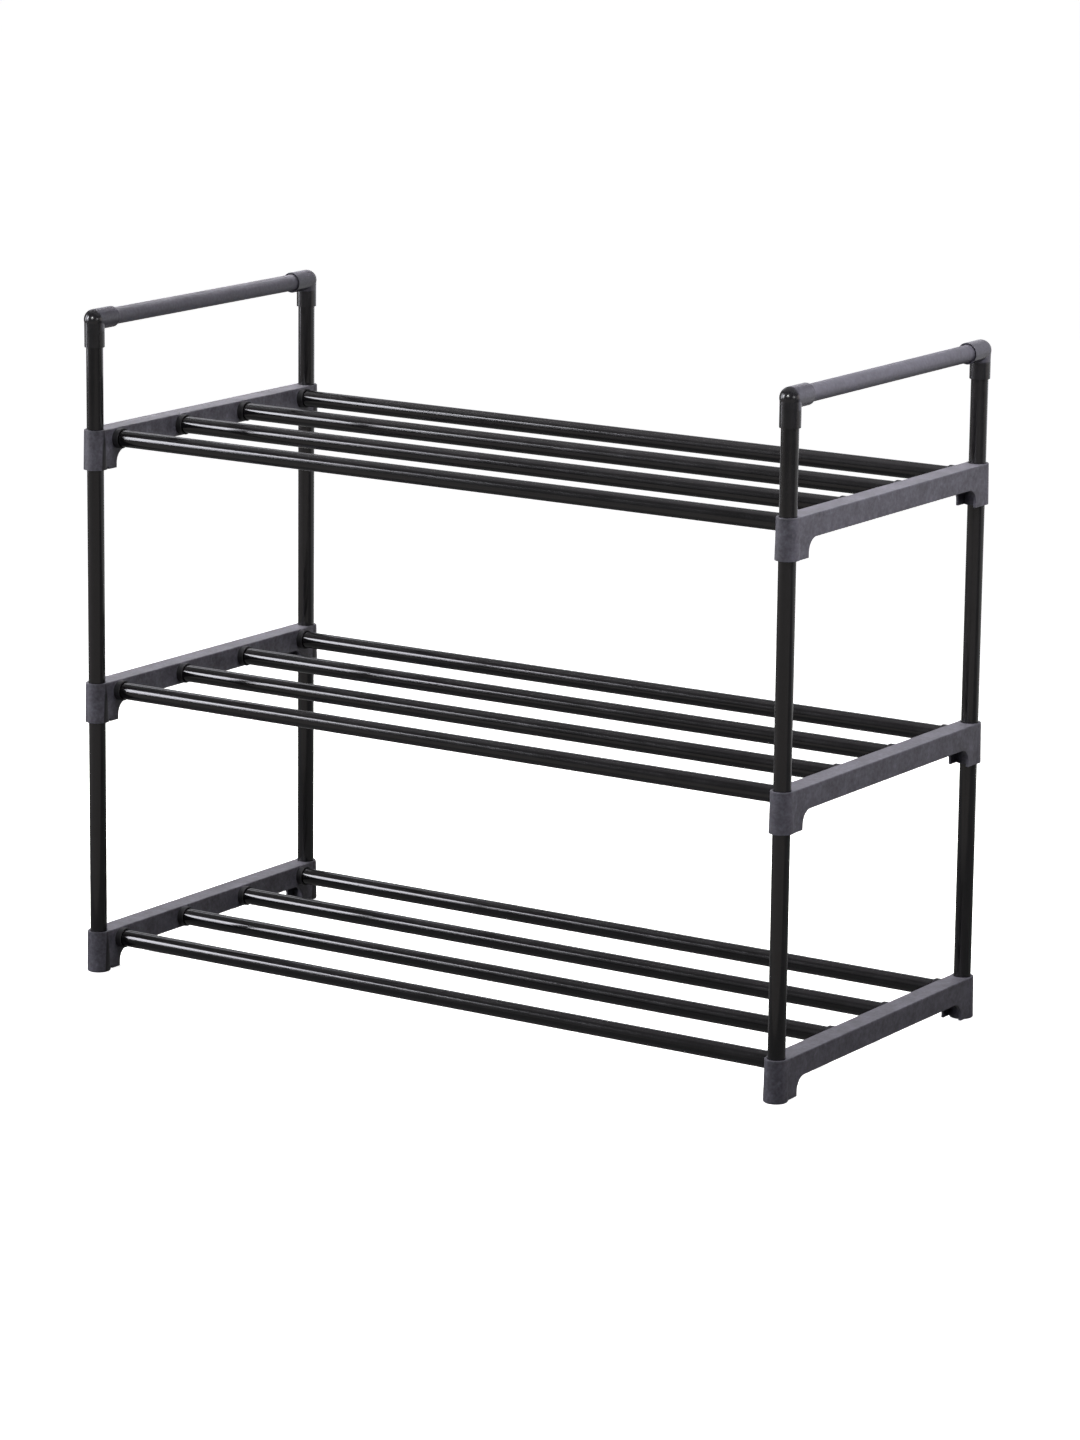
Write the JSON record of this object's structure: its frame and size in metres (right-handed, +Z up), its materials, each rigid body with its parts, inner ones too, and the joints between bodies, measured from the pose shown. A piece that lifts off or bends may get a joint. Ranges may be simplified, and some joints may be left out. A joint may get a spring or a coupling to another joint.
{
  "type": "tiered shoe rack",
  "caption": "Freestanding push-fit shoe rack: open tiers of black steel tubes between grey moulded side brackets, with a tubular carrying handle at each end.",
  "frame": {"origin": "on the floor, under the middle of the rack", "axes": "+X to the right along the shelf tubes, +Y to the rear, +Z up"},
  "size_m": [0.6148, 0.2858, 0.5054],
  "materials": {
    "moulding": "dark grey, fine matte moulded grain",
    "elbow_moulding": "charcoal, smooth and faintly glossy",
    "tube": "semi-gloss black enamel",
    "handle_rail": "matte dark grey powder coat"
  },
  "bodies": {
    "root": {"bracket_bottom_left": "moulding", "bracket_bottom_right": "moulding", "bracket_middle_left": "moulding", "bracket_middle_right": "moulding", "bracket_top_left": "moulding", "bracket_top_right": "moulding", "shelf_tube_bottom_1": "tube", "shelf_tube_bottom_2": "tube", "shelf_tube_bottom_3": "tube", "shelf_tube_bottom_4": "tube", "shelf_tube_middle_1": "tube", "shelf_tube_middle_2": "tube", "shelf_tube_middle_3": "tube", "shelf_tube_middle_4": "tube", "shelf_tube_top_1": "tube", "shelf_tube_top_2": "tube", "shelf_tube_top_3": "tube", "shelf_tube_top_4": "tube", "post_lower_front_left": "tube", "post_lower_rear_left": "tube", "post_lower_front_right": "tube", "post_lower_rear_right": "tube", "post_upper_front_left": "tube", "post_upper_rear_left": "tube", "post_upper_front_right": "tube", "post_upper_rear_right": "tube", "handle_upright_front_left": "tube", "handle_upright_rear_left": "tube", "handle_upright_front_right": "tube", "handle_upright_rear_right": "tube", "elbow_front_left": "elbow_moulding", "elbow_rear_left": "elbow_moulding", "handle_rail_left": "handle_rail", "elbow_front_right": "elbow_moulding", "elbow_rear_right": "elbow_moulding", "handle_rail_right": "handle_rail"}
  },
  "joints": []
}
